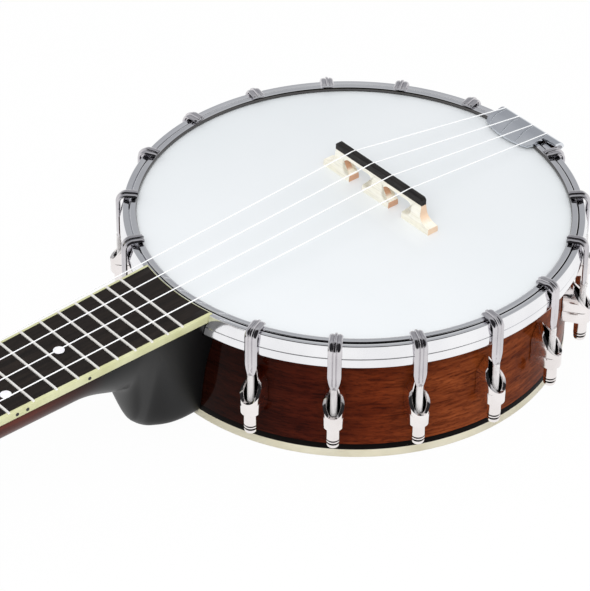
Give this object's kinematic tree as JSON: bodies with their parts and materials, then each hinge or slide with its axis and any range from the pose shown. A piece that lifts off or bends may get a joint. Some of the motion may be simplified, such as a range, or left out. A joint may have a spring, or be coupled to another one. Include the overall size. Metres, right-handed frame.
{
  "type": "banjo ukulele",
  "caption": "Tenor-scale banjo ukulele: a drum pot with a tensioned white skin, a hook-and-shoe metal rim, a three-footed bridge, a fretted neck, four strings and geared tuners.",
  "frame": {"origin": "middle of the instrument's footprint, in the plane of the back of the pot", "axes": "+Z out of the drum head, +X along the strings towards the tailpiece, so the headstock points to -X"},
  "size_m": [0.679, 0.2288, 0.0819],
  "materials": {
    "rim_wood": "dark reddish-brown gloss lacquer over bent wood, fine level grain",
    "cream_binding": "cream plastic strip, satin, with a thin black line above it",
    "drum_skin": "smooth white coated plastic film",
    "chrome_hoops": "polished chrome plate",
    "chrome_hooks": "polished chrome plate, lightly brushed on the strap",
    "chrome_shoes": "polished chrome plate on a casting",
    "chrome_tailpiece": "polished chrome plate on sheet",
    "bright_steel": "bright steel rod, fine turning marks",
    "neck_lacquer": "satin black lacquer on wood, fading to dark red-brown along the neck",
    "fingerboard_wood": "near-black oiled wood with cream edge binding and pale frets",
    "bone": "polished bone-like plastic",
    "maple": "bare pale maple, sanded",
    "ebony": "bare black hardwood, sanded",
    "nylon": "clear white nylon line",
    "chrome_tuners": "polished chrome plate"
  },
  "bodies": {
    "instrument": {"rim": "rim_wood", "rim_binding": "cream_binding", "drum_head": "drum_skin", "flesh_hoop": "chrome_hoops", "tension_hoop": "chrome_hoops", "coordinator_rod": "bright_steel", "tailpiece": "chrome_tailpiece", "bridge": "maple", "bridge_cap": "ebony", "neck": "neck_lacquer", "fingerboard": "fingerboard_wood", "nut": "bone", "hook_01": "chrome_hooks", "hook_02": "chrome_hooks", "hook_03": "chrome_hooks", "hook_04": "chrome_hooks", "hook_05": "chrome_hooks", "hook_06": "chrome_hooks", "hook_07": "chrome_hooks", "hook_08": "chrome_hooks", "hook_09": "chrome_hooks", "hook_10": "chrome_hooks", "hook_11": "chrome_hooks", "hook_12": "chrome_hooks", "hook_13": "chrome_hooks", "hook_14": "chrome_hooks", "hook_15": "chrome_hooks", "hook_16": "chrome_hooks", "shoe_01": "chrome_shoes", "shoe_02": "chrome_shoes", "shoe_03": "chrome_shoes", "shoe_04": "chrome_shoes", "shoe_05": "chrome_shoes", "shoe_06": "chrome_shoes", "shoe_07": "chrome_shoes", "shoe_08": "chrome_shoes", "shoe_09": "chrome_shoes", "shoe_10": "chrome_shoes", "shoe_11": "chrome_shoes", "shoe_12": "chrome_shoes", "shoe_13": "chrome_shoes", "shoe_14": "chrome_shoes", "shoe_15": "chrome_shoes", "shoe_16": "chrome_shoes", "string_1": "nylon", "string_2": "nylon", "string_3": "nylon", "string_4": "nylon", "tuner_housing_1": "chrome_tuners", "tuner_housing_2": "chrome_tuners", "tuner_housing_3": "chrome_tuners", "tuner_housing_4": "chrome_tuners"},
    "post_1": {"string_post_1": "chrome_tuners"},
    "button_1": {"tuner_button_1": "chrome_tuners"},
    "post_2": {"string_post_2": "chrome_tuners"},
    "button_2": {"tuner_button_2": "chrome_tuners"},
    "post_3": {"string_post_3": "chrome_tuners"},
    "button_3": {"tuner_button_3": "chrome_tuners"},
    "post_4": {"string_post_4": "chrome_tuners"},
    "button_4": {"tuner_button_4": "chrome_tuners"}
  },
  "joints": [
    {"name": "button_1_turn", "type": "hinge", "parent": "instrument", "child": "button_1", "pos_m": [-0.23979, 0.01818, 0.02421], "axis": [0, 1, 0], "continuous": true},
    {"name": "post_1_turn", "type": "hinge", "parent": "instrument", "child": "post_1", "pos_m": [-0.23777, 0.01818, 0.04258], "axis": [-0.2079, 0, 0.9781], "continuous": true},
    {"name": "button_2_turn", "type": "hinge", "parent": "instrument", "child": "button_2", "pos_m": [-0.2887, 0.01968, 0.01381], "axis": [0, 1, 0], "continuous": true},
    {"name": "post_2_turn", "type": "hinge", "parent": "instrument", "child": "post_2", "pos_m": [-0.28668, 0.01968, 0.03218], "axis": [-0.2079, 0, 0.9781], "continuous": true},
    {"name": "button_3_turn", "type": "hinge", "parent": "instrument", "child": "button_3", "pos_m": [-0.23979, -0.01782, 0.02421], "axis": [0, 1, 0], "continuous": true},
    {"name": "post_3_turn", "type": "hinge", "parent": "instrument", "child": "post_3", "pos_m": [-0.23777, -0.01782, 0.04258], "axis": [-0.2079, 0, 0.9781], "continuous": true},
    {"name": "button_4_turn", "type": "hinge", "parent": "instrument", "child": "button_4", "pos_m": [-0.2887, -0.01932, 0.01381], "axis": [0, 1, 0], "continuous": true},
    {"name": "post_4_turn", "type": "hinge", "parent": "instrument", "child": "post_4", "pos_m": [-0.28668, -0.01932, 0.03218], "axis": [-0.2079, 0, 0.9781], "continuous": true}
  ],
  "couplings": [
    {"joint": "post_1_turn", "follows": "button_1_turn", "ratio": 0.0625},
    {"joint": "post_2_turn", "follows": "button_2_turn", "ratio": 0.0625},
    {"joint": "post_3_turn", "follows": "button_3_turn", "ratio": 0.0625},
    {"joint": "post_4_turn", "follows": "button_4_turn", "ratio": 0.0625}
  ]
}
